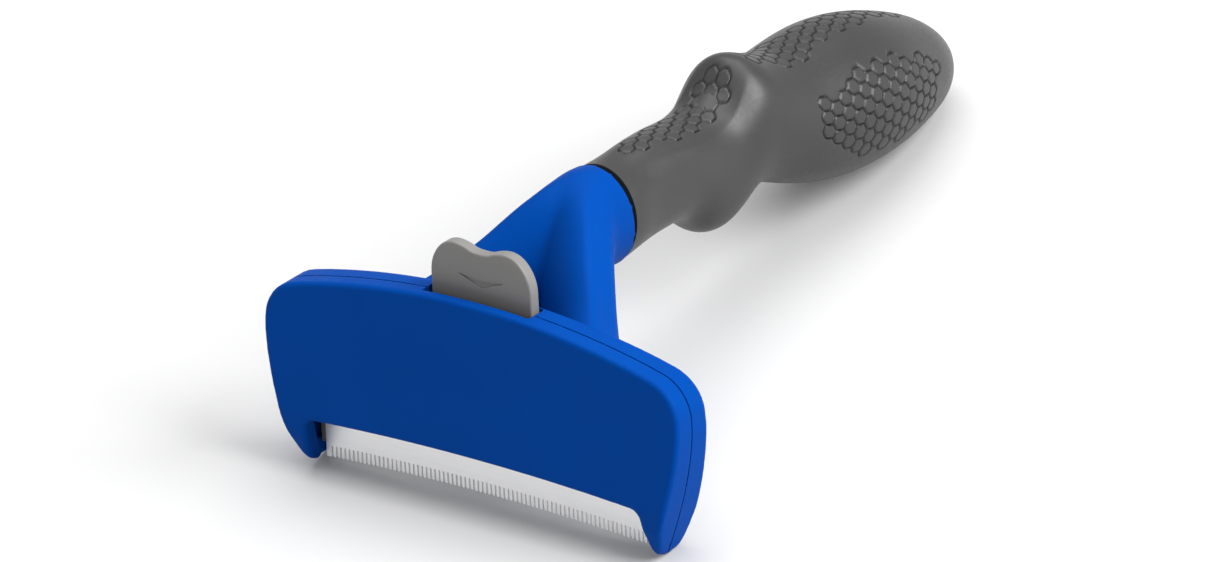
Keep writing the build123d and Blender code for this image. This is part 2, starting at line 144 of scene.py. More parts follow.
def contour(shape, low, high, pitch):
    """Dual contouring: points and faces of the surface where a distance function is zero."""
    axes = [np.arange(a, b + pitch, pitch) for a, b in zip(low, high)]
    size = [len(a) for a in axes]
    values = np.empty(size, np.float32)
    gy, gz = np.meshgrid(axes[1], axes[2], indexing="ij")
    for i, x in enumerate(axes[0]):
        values[i] = shape(np.full(gy.shape, x), gy, gz)
    origin = np.array([a[0] for a in axes])
    solid = values < 0
    points, ids, sides, kinds = [], [], [], []
    for axis in range(3):
        near = [slice(1, -1)] * 3
        near[axis] = slice(0, -1)
        far = list(near)
        far[axis] = slice(1, None)
        change = solid[tuple(near)] != solid[tuple(far)]
        ijk = np.argwhere(change)
        for k in range(3):
            if k != axis:
                ijk[:, k] += 1
        end = ijk.copy()
        end[:, axis] += 1
        v0 = values[tuple(ijk.T)].astype(float)
        v1 = values[tuple(end.T)].astype(float)
        p0, p1 = origin + ijk * pitch, origin + end * pitch
        for _ in range(2):
            t = np.clip(v0 / (v0 - v1), 0.02, 0.98)[:, None]
            p = p0 + (p1 - p0) * t
            v = shape(*p.T)
            same = (v < 0) == (v0 < 0)
            p0 = np.where(same[:, None], p, p0)
            p1 = np.where(same[:, None], p1, p)
            v0, v1 = np.where(same, v, v0), np.where(same, v1, v)
        t = (v0 / (v0 - v1))[:, None]
        points.append(p0 + (p1 - p0) * np.clip(t, 0, 1))
        ids.append(ijk)
        sides.append(solid[tuple(ijk.T)])
        kinds.append(np.full(len(ijk), axis))
    points, ids = np.vstack(points), np.vstack(ids)
    sides, kinds = np.concatenate(sides), np.concatenate(kinds)
    normals = np.empty_like(points)
    for k in range(3):
        shift = np.zeros(3)
        shift[k] = CREASE_REACH
        normals[:, k] = shape(*(points + shift).T) - shape(*(points - shift).T)
    normals /= np.linalg.norm(normals, axis=1, keepdims=True) + 1e-12
    # The four cells round each crossed edge.
    quads = np.empty((len(points), 4), np.int64)
    strides = np.array([size[1] * size[2], size[2], 1])
    for axis in range(3):
        rows = kinds == axis
        b, c = (axis + 1) % 3, (axis + 2) % 3
        base = ids[rows] @ strides
        quads[rows, 0] = base
        quads[rows, 1] = base - strides[b]
        quads[rows, 2] = base - strides[b] - strides[c]
        quads[rows, 3] = base - strides[c]
    cells, index = np.unique(quads.ravel(), return_inverse=True)
    index = index.reshape(quads.shape)
    count = len(cells)
    flat = index.ravel()

    def total(v):
        return np.bincount(flat, weights=np.repeat(v, 4), minlength=count)

    number = total(np.ones(len(points)))
    middle = np.stack([total(points[:, k]) for k in range(3)], axis=1) / number[:, None]
    shifts = points[:, None, :] - middle[index]
    offset = np.einsum("nk,nck->nc", normals, shifts)
    matrix = np.empty((count, 3, 3))
    right = np.empty((count, 3))
    for k in range(3):
        right[:, k] = np.bincount(flat, weights=(normals[:, k : k + 1] * offset).ravel(), minlength=count)
        for m in range(3):
            matrix[:, k, m] = total(normals[:, k] * normals[:, m])
    matrix += np.eye(3) * (PULL_TO_MIDDLE * number)[:, None, None]
    places = middle + np.linalg.solve(matrix, right[:, :, None])[:, :, 0]
    cell = np.stack(np.unravel_index(cells, size), axis=1)
    low_side = origin + cell * pitch
    places = np.clip(places, low_side - CELL_MARGIN * pitch, low_side + (1 + CELL_MARGIN) * pitch)
    faces = np.where(sides[:, None], index, index[:, ::-1])
    return places, faces


SHARP = math.radians(38)     # a moulding's edges stay sharp where the surface turns more than this


def mesh_piece(name, points, faces, body):
    """A smooth-shaded mesh object from points in metres, riding on a body."""
    mesh = bpy.data.meshes.new(name)
    points, faces = np.asarray(points, np.float32), np.asarray(faces)
    mesh.vertices.add(len(points))
    mesh.vertices.foreach_set("co", points.ravel())
    corners = faces.shape[1]
    mesh.loops.add(faces.size)
    mesh.loops.foreach_set("vertex_index", faces.ravel().astype(np.int32))
    mesh.polygons.add(len(faces))
    mesh.polygons.foreach_set("loop_start", np.arange(0, faces.size, corners, dtype=np.int32))
    mesh.update(calc_edges=True)
    mesh.validate()
    mesh.shade_smooth()
    mesh.set_sharp_from_angle(angle=SHARP)
    piece = bpy.data.objects.new(name, mesh)
    bpy.context.scene.collection.objects.link(piece)
    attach(piece, body)
    return piece


# ---- the head's outline -------------------------------------------------------------------------
HEAD_TOP = 40.6              # crown of the head's top edge
HEAD_TOP_RADIUS = 228.0
HEAD_SIDE = 63.1             # half the head's width
CORNER_RADIUS = 10.8
EDGE_RADIUS = 757.0          # bow of the edge between the legs
LIP = 0.5                    # crown of that edge, and half its width
LIP_HALF = 51.1
LEG_BOTTOM = -15.4
SIDE_KNOTS = [(31.9, HEAD_SIDE), (12, 62.2), (-4, 57.9), (LEG_BOTTOM, 53.6)]   # height, half width
CORNER_POINTS = 9
CHANNEL = 54.8               # half the width of the channel that the wiper plate slides in
WALL = 2.4
FACE_WALL = 2.2              # wall behind the front face and before the rear face
REAR_DEPTH = 7.9             # from the parting face back to the rear face, at y = 0
TAPER = math.radians(3.6)    # lean of the rear face
REAR_LEAN = math.tan(TAPER)


def arch(x, crown, radius):
    """Height of an arc with its crown in the middle."""
    return crown - radius + np.sqrt(radius**2 - x**2)


def rounded(corners):
    """Rounds a polygon's corners.  Each corner is x, y and radius."""
    out = []
    for k, (x, y, radius) in enumerate(corners):
        here = np.array([x, y])
        before = np.array(corners[k - 1][:2]) - here
        after = np.array(corners[(k + 1) % len(corners)][:2]) - here
        if radius == 0:
            out.append(here)
            continue
        u, w = before / np.linalg.norm(before), after / np.linalg.norm(after)
        half = math.acos(np.clip(np.dot(u, w), -1, 1)) / 2
        reach = radius / math.tan(half)
        middle = here + (u + w) / np.linalg.norm(u + w) * radius / math.sin(half)
        start, end = here + u * reach - middle, here + w * reach - middle
        turn = math.atan2(start[0] * end[1] - start[1] * end[0], np.dot(start, end))
        for t in np.linspace(0, 1, CORNER_POINTS):
            c, s = math.cos(turn * t), math.sin(turn * t)
            out.append(middle + np.array([c * start[0] - s * start[1], s * start[0] + c * start[1]]))
    return np.array(out)


def head_polygon():
    """The head's right half seen from the front, closed along the middle."""
    side = np.polyfit(*np.transpose(SIDE_KNOTS), 3)
    corners = [(x, arch(x, HEAD_TOP, HEAD_TOP_RADIUS), 0) for x in np.linspace(-12, 50, 22)]
    corner_y = float(arch(HEAD_SIDE, HEAD_TOP, HEAD_TOP_RADIUS))
    corners += [(HEAD_SIDE + 0.1, corner_y, CORNER_RADIUS)]
    corners += [(float(np.polyval(side, y)), y, 0) for y in np.linspace(20, -12.5, 14)]
    corners += [(53.65, LEG_BOTTOM, 1.0), (52.5, LEG_BOTTOM, 0.8), (51.9, -9.0, 0)]
    corners += [(LIP_HALF, float(arch(LIP_HALF, LIP, EDGE_RADIUS)), 3.0)]
    corners += [(x, float(arch(x, LIP, EDGE_RADIUS)), 0) for x in np.linspace(44, -12, 16)]
    return rounded(corners)


outline_field = Field(head_polygon(), (-2.0, -20.0), (70.0, 48.0))


def outline(x, y):
    """Distance to the head's outline, seen from the front."""
    return outline_field(np.abs(x), y)


def profile_curve(points):
    """A smooth curve through points, as rows of x and y."""
    points = np.array(points, float)
    distance = np.concatenate([[0], np.cumsum(np.linalg.norm(np.diff(points, axis=0), axis=1))])
    even = np.linspace(0, distance[-1], 40)
    return np.stack([spline(distance, points[:, k], even) for k in range(2)], axis=1)


def spline(x, y, at):
    """Natural cubic spline through (x, y), evaluated at places inside it."""
    x, y = np.asarray(x, float), np.asarray(y, float)
    n = len(x)
    h = np.diff(x)
    matrix = np.eye(n)
    right = np.zeros(n)
    for i in range(1, n - 1):
        matrix[i, i - 1 : i + 2] = h[i - 1], 2 * (h[i - 1] + h[i]), h[i]
        right[i] = 6 * ((y[i + 1] - y[i]) / h[i] - (y[i] - y[i - 1]) / h[i - 1])
    bend = np.linalg.solve(matrix, right)
    at = np.asarray(at, float)
    i = np.clip(np.searchsorted(x, at) - 1, 0, n - 2)
    a, b = x[i + 1] - at, at - x[i]
    return (
        (bend[i] * a**3 + bend[i + 1] * b**3) / (6 * h[i])
        + (y[i] / h[i] - bend[i] * h[i] / 6) * a
        + (y[i + 1] / h[i] - bend[i + 1] * h[i] / 6) * b
    )


# Side views of the legs' ends: z forward, y up.  Everything below and outside the curve is away.
FRONT_LEG = [(7.9, -2.5), (6.9, -6.4), (5.5, -9.8), (4.4, -12.2), (2.7, -13.9), (0.3, -14.8)]
REAR_LEG = [(-8.1, -2.5), (-7.1, -8), (-6.1, -12), (-4.9, -13.9), (-2.8, -14.75), (-0.3, -15.1)]
front_leg_field = Field(
    np.vstack([profile_curve(FRONT_LEG), [(-3, -15), (-3, -24), (22, -24), (22, 0.5), (8.6, 0.5)]]),
    (-14.0, -20.0),
    (16.0, 60.0),
)
rear_leg_field = Field(
    np.vstack([profile_curve(REAR_LEG), [(3, -15.2), (3, -24), (-22, -24), (-22, 0.5), (-9, 0.5)]]),
    (-16.0, -20.0),
    (14.0, 60.0),
)

BLADE_SCREWS = [(-42, 5.2), (-14, 5.2), (14, 5.2), (42, 5.2)]
BLADE_BOSS, BLADE_PILOT = 3.0, 1.01          # radii
COVER_SCREWS = [(-50, 23.5), (-8, 17), (8, 17), (50, 23.5)]
COVER_BOSS, COVER_PILOT, COVER_SHANK, COVER_SEAT = 3.3, 1.26, 1.45, 2.6
SEAT_FLOOR = 1.9             # a cover screw's seat, in from the rear face
BOSS_FRONT = 6.2             # bosses run into the front wall as far as this
SPRING_AT = 32.0             # a return spring's distance from the middle
SPRING_Z = 0.9
PEG_RADIUS = 1.2
LEDGE = (9.2, 11.2)          # heights of the ledge under a spring
SEAM = 0.15                  # half the gap between the head's two halves
SEAM_ROUND = 0.25
EDGE_ROUND = 1.2
REAR_ROUND = 1.4
SLOT_HALF, SLOT_FLOOR, SLOT_ROUND = 16.4, 20, 0.6    # the button's slot
SLOT_FRONT, SLOT_REAR = 2.2, 4.1
BLADE_TIP = -12.2
BLADE_LEAN = 0.3627          # slope of the channel's front, which makes room for the blade
BLADE_LEAN_RUN = 1.064       # length along that slope for each step up
SHOULDER_LEAN = 0.433        # the same for the ends of the hollow
SHOULDER_RUN = 1.09


def cylinder(x, y, z, at, radius, z_from, z_to):
    """A round bar from front to back, at a place in x and y."""
    d = np.hypot(x - at[0], y - at[1]) - radius
    return np.maximum(d, np.maximum(z_from - z, z - z_to))


def block(x, y, z, low, high, radius=0.0):
    """A box between two corners, with rounded edges."""
    q = [np.maximum(a - v, v - b) + radius for v, a, b in zip((x, y, z), low, high)]
    outside = np.sqrt(sum(np.maximum(v, 0) ** 2 for v in q))
    return outside + np.minimum(np.maximum(np.maximum(q[0], q[1]), q[2]), 0) - radius


def hollow(x, y, wall_distance):
    """The hollow inside both halves of the head."""
    lip = arch(np.minimum(np.abs(x), 70), LIP + 2.1, EDGE_RADIUS) - y
    shoulder = (np.abs(x) - CHANNEL - SHOULDER_LEAN * y) / SHOULDER_RUN
    return np.maximum(np.maximum(outline(x, y) + WALL, lip), np.maximum(shoulder, wall_distance))


def front_cover_shape(x, y, z):
    """The front half of the head, with its bosses, the springs' ledges and their pegs."""
    _, station = grip_of_head(y, z)
    body = meet(outline(x, y), -station, EDGE_ROUND)
    body = meet(body, -front_leg_field(z, y), EDGE_ROUND)
    body = meet(body, SEAM - z, SEAM_ROUND)
    inside = hollow(x, y, np.maximum(FACE_WALL - station, -z - 1))
    channel = np.maximum(np.abs(x) - CHANNEL, np.maximum(y - 12, BLADE_TIP - y))
    blade_room = (z - 0.2 - BLADE_LEAN * (y - BLADE_TIP)) / BLADE_LEAN_RUN
    channel = np.maximum(channel, np.maximum(z - 3.9, blade_room))
    body = np.maximum(body, -np.minimum(inside, channel))
    near = (y < 32) & (station > 0.5)
    for at in BLADE_SCREWS:
        boss = cylinder(x, y, z, at, BLADE_BOSS, 0.5, BOSS_FRONT)
        body = np.where(near, np.minimum(body, boss), body)
        body = np.maximum(body, -cylinder(x, y, z, at, BLADE_PILOT, 0, 4.3))
    for at in COVER_SCREWS:
        boss = cylinder(x, y, z, at, COVER_BOSS, 0.0, BOSS_FRONT)
        body = np.where(near, np.minimum(body, boss), body)
        body = np.maximum(body, -cylinder(x, y, z, at, COVER_PILOT, -1, 3.2))
    low, high = (SPRING_AT - 3.2, LEDGE[0], -1.3), (SPRING_AT + 3.2, LEDGE[1], 5.7)
    ledge = block(np.abs(x), y, z, low, high)
    peg = np.hypot(np.abs(x) - SPRING_AT, z - SPRING_Z) - PEG_RADIUS
    peg = np.maximum(peg, np.maximum(10 - y, y - 15.2))
    body = np.where(near, np.minimum(body, np.minimum(ledge, peg)), body)
    slot = block(x, y, z, (-SLOT_HALF, SLOT_FLOOR, -9), (SLOT_HALF, 60, SLOT_FRONT), SLOT_ROUND)
    return np.maximum(body, -slot)


# Rows of the forked neck's arms: station, distance from the middle, height, half width, half height.
ARM = np.array([
    (52.6, 0, 47.9, 11.2, 12.7),
    (45, 0.3, 47.6, 11.2, 12.9),
    (35, 6.2, 41.8, 11.8, 13.3),
    (27, 13.3, 32.7, 11.6, 14.0),
    (19, 21.1, 24.7, 11.3, 14.3),
    (8, 29.6, 18.0, 11.4, 14.4),
])
COLLAR = 52.6                # station where the neck ends
COLLAR_HEIGHT = 47.9
ARM_START = 8                # station where the arms' rows start
NECK_END = 7                 # the arms end at this station, inside the head
ARM_SPREAD = 0.7             # how fast the arms part below their first row
FACET = (0.794, 0.607)       # direction that an arm's flat outer upper side faces
FACET_AT = 10.6              # its distance from the arm's middle, and what it gains at the collar
FACET_FADE = 3.0
CREASE = 1.6                 # blend where the two arms meet
SOCKET_RADIUS, SOCKET_END = 8.5, 40.0
NECK_SCREW = 44.5            # station of the screw up into the grip's spigot
arm_stations = np.linspace(NECK_END, COLLAR, 60)
arm_rows = [spline(ARM[::-1, 0], ARM[::-1, k], np.maximum(arm_stations, ARM_START)) for k in range(1, 5)]


def arm(x, height, station):
    """Rough distance to one arm of the neck."""
    s = np.clip(station, NECK_END, COLLAR)
    across, middle, wide, tall = [np.interp(s, arm_stations, row) for row in arm_rows]
    across = across - np.maximum(ARM_START - s, 0) * ARM_SPREAD
    u, v = (x - across) / wide, (height - middle) / tall
    length = np.hypot(u, v) + 1e-9
    spread = np.hypot(u / wide, v / tall) / length
    round_side = (length - 1) / (spread + 1e-9) * 0.93
    flat = FACET[0] * (x - across) + FACET[1] * (height - middle)
    flat = flat - FACET_AT - FACET_FADE * step(station, 36, 50)
    return meet(round_side, flat, EDGE_ROUND)


def rear_shell_shape(x, y, z):
    """The rear half of the head with its forked neck, the neck's socket and the screws' ways in."""
    height, station = grip_of_head(y, z)
    rear = -(z + REAR_DEPTH - REAR_LEAN * y) * math.cos(TAPER)
    body = meet(outline(x, y), rear, REAR_ROUND)
    body = meet(body, -rear_leg_field(z, y), EDGE_ROUND)
    body = meet(body, z + SEAM, SEAM_ROUND)
    wall = rear + FACE_WALL
    inside = hollow(x, y, np.maximum(wall, z - 1))
    channel = np.maximum(np.abs(x) - CHANNEL, np.maximum(y - 14, -9.8 - y))
    lower = np.maximum(np.abs(x) - CHANNEL + 1.3, np.maximum(y, -17 - y))
    channel = np.maximum(np.minimum(channel, lower), np.maximum(z - 1, -3.8 - z))
    for at in COVER_SCREWS:
        inside = np.maximum(inside, COVER_BOSS - np.hypot(x - at[0], y - at[1]))
    neck = join(arm(x, height, station), arm(-x, height, station), CREASE)
    neck = meet(neck, station - COLLAR, 0.5)
    neck = np.maximum(neck, -wall)
    body = join(body, neck, 0.9)
    body = np.maximum(body, -np.minimum(inside, channel))
    for at in COVER_SCREWS:
        seat = -REAR_DEPTH + REAR_LEAN * at[1] + SEAT_FLOOR
        body = np.maximum(body, -cylinder(x, y, z, at, COVER_SEAT, -40, seat))
        body = np.maximum(body, -cylinder(x, y, z, at, COVER_SHANK, -40, 2))
    socket = np.maximum(np.hypot(x, height - COLLAR_HEIGHT) - SOCKET_RADIUS, SOCKET_END - station)
    tunnel = np.hypot(x, station - NECK_SCREW)
    head_way = np.maximum(tunnel - 2.8, height - 38)
    screw_way = np.maximum(np.minimum(head_way, tunnel - 1.45), height - 42)
    slot = block(x, y, z, (-SLOT_HALF, SLOT_FLOOR, -SLOT_REAR), (SLOT_HALF, 60, 9), SLOT_ROUND)
    return np.maximum(body, -np.minimum(np.minimum(socket, screw_way), slot))


FRONT_PITCH, REAR_PITCH = 0.55, 0.6          # spacing of the grids that the halves are contoured on
points, faces = contour(front_cover_shape, (-64.2, -16.6, -1.3), (64.2, 42.0, 9.6), FRONT_PITCH)
front_cover = mesh_piece("front_cover_moulding", from_head(points), faces, "body")
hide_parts("front_cover")

points, faces = contour(rear_shell_shape, (-64.2, -16.6, -48.0), (64.2, 64.5, 1.3), REAR_PITCH)
rear_shell = mesh_piece("rear_shell_moulding", from_head(points), faces, "body")
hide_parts("rear_shell")

# ---- the soft grip ------------------------------------------------------------------------------
# Rows: station, top, underside and half width.
PROFILE = np.array([
    (52.9, 60.8, 35.0, 11.45),
    (56.5, 60.9, 35.8, 11.5),
    (62, 61.6, 36.7, 11.0),
    (69, 62.8, 37.7, 10.9),
    (75, 63.6, 38.2, 11.1),
    (80, 64.0, 38.1, 11.4),
    (84, 64.1, 36.2, 11.7),
    (88, 64.3, 33.2, 12.1),
    (92, 65.0, 31.5, 12.5),
    (96, 66.8, 31.6, 12.9),
    (100, 70.4, 33.6, 13.4),
    (104, 73.4, 36.6, 14.0),
    (108, 73.5, 38.5, 14.6),
    (112, 72.1, 38.7, 15.3),
    (117, 70.6, 37.2, 16.0),
    (123, 69.4, 35.2, 17.0),
    (130, 69.6, 33.2, 18.2),
    (138, 70.4, 31.8, 19.3),
    (146, 70.6, 31.2, 19.8),
    (154, 69.9, 31.4, 19.5),
    (162, 68.3, 32.2, 18.4),
    (170, 65.9, 33.75, 16.6),
    (177, 63.3, 35.6, 14.7),
    (184, 60.6, 37.5, 12.6),
    (192.3, 57.5, 39.9, 9.5),
])
GRIP_START = 52.9
TAIL_FROM, TAIL = 174.0, 18.3                # station where the tail starts to close, and its length
TAIL_POWER = 2.6             # higher is blunter
SKIN = 2.6                   # thickness of the soft skin
SKIN_END = 179.5             # station where the hollow in the skin ends
GROOVE_DEPTH = 0.4
GROOVE_FLOOR, GROOVE_EDGE = 0.08, 0.36       # half widths of a groove's floor and of its mouth
DISH_DEPTH = 1.9             # the thumb's dish, at its middle
HOLE_STATION, HOLE_RADIUS = 184.0, 2.2
CELL = 3.55, 3.75            # spacing of the honeycomb along the grip and round it
ARC_PER_DEGREE = 0.31        # length round the side of the grip for each degree
NOWHERE = 9.0                # distance given where no cell is near


def even_steps(stops):
    """Places from one stop to the next, each stretch with its own spacing."""
    out = [stops[0][0]]
    for (start, pitch), (end, _) in zip(stops, stops[1:]):
        count = max(1, round((end - start) / pitch))
        out += list(start + (end - start) * np.arange(1, count + 1) / count)
    return np.array(out)


def hexagons(u, v, pitch_u, pitch_v, chosen):
    """How far a point is from the outline of the nearest chosen cell of a honeycomb."""
    best = [np.full(u.shape, 1e9), np.full(u.shape, 1e9)]
    centres = [[np.zeros(u.shape)] * 2, [np.zeros(u.shape)] * 2]
    column = np.round(u / pitch_u)
    for dc in (-1, 0, 1):
        c = column + dc
        shift = 0.5 * np.mod(c, 2)
        row = np.round(v / pitch_v - shift)
        for dr in (-1, 0, 1):
            cu, cv = c * pitch_u, (row + dr + shift) * pitch_v
            d = ((u - cu) / pitch_u * 0.866) ** 2 + ((v - cv) / pitch_v) ** 2
            first = d < best[0]
            second = ~first & (d < best[1])
            for k in range(2):
                here = (cu, cv)[k]
                runner_up = np.where(second, here, centres[1][k])
                centres[1][k] = np.where(first, centres[0][k], runner_up)
                centres[0][k] = np.where(first, here, centres[0][k])
            best[1] = np.where(first, best[0], np.where(second, d, best[1]))
            best[0] = np.where(first, d, best[0])
    away = (best[1] - best[0]) / 2
    used = chosen(*centres[0]) | chosen(*centres[1])
    return np.where(used, away * (pitch_u + pitch_v) / 2, NOWHERE)


# The outline of the honeycomb on each side: station, and degrees round from the top.
SIDE_PATCH = np.array([
    (122.5, 66), (123, 98), (131, 108), (140, 117), (147, 121), (156, 117), (164, 110), (170, 98),
    (170.5, 72), (163, 59), (155, 50), (140, 50), (131, 61),
], float)


def side_chosen(u, v):
    return polygon_distance(u, v, SIDE_PATCH * (1.0, ARC_PER_DEGREE)) < 0


# Length along the grip's crown, which is longer than the stations where the crest rises.
CROWN_START, CROWN_STEP = 53.0, 0.25
crown_stations = np.arange(CROWN_START, 193.0, CROWN_STEP)
crown = spline(PROFILE[:, 0], PROFILE[:, 1], crown_stations)
crown_steps = np.hypot(np.diff(crown), CROWN_STEP)
crown_length = CROWN_START + np.concatenate([[0], np.cumsum(crown_steps)])


def palm_chosen(u, v):
    u = np.interp(u, crown_length, crown_stations)
    half = np.interp(u, [106, 110, 120, 132, 143, 156, 174], [4.0, 5.4, 5.8, 5.8, 4.6, 3.6, 1.6])
    return (np.abs(v) < half) & (u > 107) & (u < 173)


def thumb_chosen(u, v):
    u = np.interp(u, crown_length, crown_stations)
    half = np.interp(u, [62, 68, 74, 82, 90, 96, 103], [0.8, 2.8, 4.8, 5.4, 5.2, 4.8, 4.2])
    return (np.abs(v) < half) & (u > 63.5) & (u < 102.0)


def grip_section(station, angle, inset=0.0):
    """The smooth grip drawn in by an inset: across, height, half width and half height."""
    s = np.minimum(station, TAIL_FROM + TAIL)
    top, low, wide = [spline(PROFILE[:, 0], PROFILE[:, k], s) for k in (1, 2, 3)]
    beyond = np.clip((station - TAIL_FROM) / TAIL, 0, 1)
    shrink = np.sqrt(np.maximum(1 - beyond**TAIL_POWER, 0))
    middle, tall = (top + low) / 2, (top - low) / 2
    tall, wide = (tall - inset) * shrink, (wide - inset) * shrink
    return wide * np.sin(angle), middle + tall * np.cos(angle), wide, tall


def grip_surface(station, angle):
    """The grip's outside in GRIP coordinates, with its dish and grooves, and how deep in a groove."""
    x, height, wide, tall = grip_section(station, angle)
    upper = np.cos(angle) > 0
    # The thumb's dish ends at a rim on both sides and at the crest.
    dish = step(station, 64, 84) * step(station, 104.5, 98)
    half = np.interp(station, [64, 80, 95, 104], [7.6, 8.8, 8.8, 7.4])
    change = -DISH_DEPTH * upper * dish * np.clip(1 - (x / half) ** 2, 0, 1)
    around = np.degrees(np.arccos(np.clip(np.cos(angle), -1, 1)))
    along = np.interp(station, crown_stations, crown_length)
    away = np.minimum(
        np.where(upper, hexagons(along, x, *CELL, palm_chosen), NOWHERE),
        np.where(upper, hexagons(along, x, *CELL, thumb_chosen), NOWHERE),
    )
    away = np.minimum(away, hexagons(station, around * ARC_PER_DEGREE, *CELL, side_chosen))
    line = 1 - step(away, GROOVE_FLOOR, GROOVE_EDGE)
    cut = -GROOVE_DEPTH * line
    nx, ny = np.sin(angle) / np.maximum(wide, 1), np.cos(angle) / np.maximum(tall, 1)
    size = np.hypot(nx, ny)
    points = np.stack([x + cut * nx / size, height + cut * ny / size + change, station], axis=1)
    return points, np.minimum(1.6 * line, 1)


def ring_angles():
    """Angles round the grip, closest together where the honeycombs are."""
    degrees = even_steps([(0, 1.0), (32, 2.2), (48, 1.0), (124, 3.0), (180, 3.0)])
    return np.radians(np.concatenate([degrees, 360 - degrees[-2:0:-1]]))


def ring_stations():
    """Stations along the grip, closest together where the honeycombs are and at the tail's end."""
    lengths = even_steps([(GRIP_START, 0.8), (62, 0.34), (104, 0.37), (171, 0.7), (TAIL_FROM, 0.7)])
    tail = TAIL_FROM + TAIL * np.sin(np.linspace(0, math.pi / 2, 28)[1:-1])
    return np.concatenate([lengths, tail])


def grip_skin():
    """The soft skin's points, quads and triangles, and how deep in a groove each point is."""
    angles, lengths = ring_angles(), ring_stations()
    count, rings = len(angles), len(lengths)
    grid_s, grid_a = [grid.ravel() for grid in np.meshgrid(lengths, angles, indexing="ij")]
    outer, line = grip_surface(grid_s, grid_a)
    inner_lengths = np.array([GRIP_START, 56.5, 62, 69, 80, 92, 100, 108, 123, 138, 154, 170, SKIN_END])
    grid_s, grid_a = [grid.ravel() for grid in np.meshgrid(inner_lengths, angles, indexing="ij")]
    x, height, _, _ = grip_section(grid_s, grid_a, SKIN)
    inner = np.stack([x, height, grid_s], axis=1)
    mouth = grid_s < 56
    inner[mouth, 0] = SOCKET_RADIUS * np.sin(grid_a[mouth])
    inner[mouth, 1] = COLLAR_HEIGHT + SOCKET_RADIUS * np.cos(grid_a[mouth])
    tip = [0, (outer[-1, 1] + outer[-1 - count // 2, 1]) / 2, TAIL_FROM + TAIL]
    bottom = [0, inner[-count:, 1].mean(), SKIN_END]
    verts = np.vstack([outer, inner, [tip], [bottom]])
    k = np.arange(count)
    following = np.roll(k, -1)

    def band(first, second):
        a, b = first * count, second * count
        return np.stack([a + k, a + following, b + following, b + k], axis=1)

    def fan(ring, middle, first, second):
        return np.stack([ring * count + first, ring * count + second, np.full(count, middle)], axis=1)

    quads = [band(i, i + 1) for i in range(rings - 1)]
    quads += [band(rings + i + 1, rings + i) for i in range(len(inner_lengths) - 1)]
    quads += [band(rings, 0)]
    tip_id, bottom_id = len(verts) - 2, len(verts) - 1
    caps = [fan(rings - 1, tip_id, k, following)]
    caps += [fan(rings + len(inner_lengths) - 1, bottom_id, following, k)]
    depth = np.concatenate([line, np.zeros(len(verts) - len(line))])
    return verts, np.vstack(quads)[:, ::-1], np.vstack(caps)[:, ::-1], depth


def grip_piece():
    points, quads, triangles, depth = grip_skin()
    mesh = bpy.data.meshes.new("grip_skin")
    mesh.from_pydata(from_grip(*points.T).tolist(), [], quads.tolist() + triangles.tolist())
    mesh.shade_smooth()
    # the groove attribute marks how deep each point sits in a groove; the grip's material paints shade there
    mark = mesh.attributes.new("groove", "FLOAT", "POINT")
    mark.data.foreach_set("value", depth.astype(np.float32))
    piece = bpy.data.objects.new("grip_skin", mesh)
    bpy.context.scene.collection.objects.link(piece)
    return piece


HOLE_TURNS = 48
HOLE_TOP, HOLE_LOW = 60.0, 38.0              # heights of the grip's surface at the hanging hole
GRIP_SHARP = math.radians(50)


def hole_cutter():
    """A turned bar as wide as the hanging hole, flared where it leaves the grip."""
    rows = [(34, 6.4), (HOLE_LOW - 0.2, 3.5), (HOLE_LOW + 0.5, 2.7), (HOLE_LOW + 1.6, HOLE_RADIUS)]
    rows += [(HOLE_TOP - 1.6, HOLE_RADIUS), (HOLE_TOP - 0.5, 2.7), (HOLE_TOP + 0.2, 3.5), (65, 6.4)]
    turn = np.linspace(0, 2 * math.pi, HOLE_TURNS, endpoint=False)
    points = np.array(
        [(r * math.cos(t), h, HOLE_STATION + r * math.sin(t)) for h, r in rows for t in turn]
    )
    faces = []
    for a in range(0, (len(rows) - 1) * HOLE_TURNS, HOLE_TURNS):
        b = a + HOLE_TURNS
        for k in range(HOLE_TURNS):
            after = (k + 1) % HOLE_TURNS
            faces.append((a + k, a + after, b + after, b + k))
    last = len(points) - 1
    faces += [tuple(range(HOLE_TURNS)), tuple(range(last, last - HOLE_TURNS, -1))]
    mesh = bpy.data.meshes.new("hole_cutter")
    mesh.from_pydata(from_grip(*points.T).tolist(), [], faces)
    mesh.validate()
    outward = bmesh.new()
    outward.from_mesh(mesh)
    bmesh.ops.recalc_face_normals(outward, faces=outward.faces)
    outward.to_mesh(mesh)
    outward.free()
    mesh.shade_smooth()
    cutter = bpy.data.objects.new("hole_cutter", mesh)
    bpy.context.scene.collection.objects.link(cutter)
    return cutter


def cut_out(piece, cutter):
    """Takes the cutter out of a piece and removes the cutter."""
    cut = piece.modifiers.new("hang_hole", "BOOLEAN")
    cut.operation = "DIFFERENCE"
    cut.solver = "EXACT"
    cut.object = cutter
    result = piece.evaluated_get(bpy.context.evaluated_depsgraph_get())
    mesh = bpy.data.meshes.new_from_object(result)
    piece.modifiers.clear()
    piece.data = mesh
    mesh.set_sharp_from_angle(angle=GRIP_SHARP)
    bpy.data.objects.remove(cutter)


grip = grip_piece()
cut_out(grip, hole_cutter())
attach(grip, "body")
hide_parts("grip_sleeve")


# ---- materials ----------------------------------------------------------------------------------
def material(name, build):
    """A material whose nodes are made by build(tree, shader)."""
    made = bpy.data.materials.new(name)
    made.use_nodes = True
    tree = made.node_tree
    shader = tree.nodes["Principled BSDF"]
    build(tree, shader)
    return made


def link(tree, source, target):
    tree.links.new(source, target)


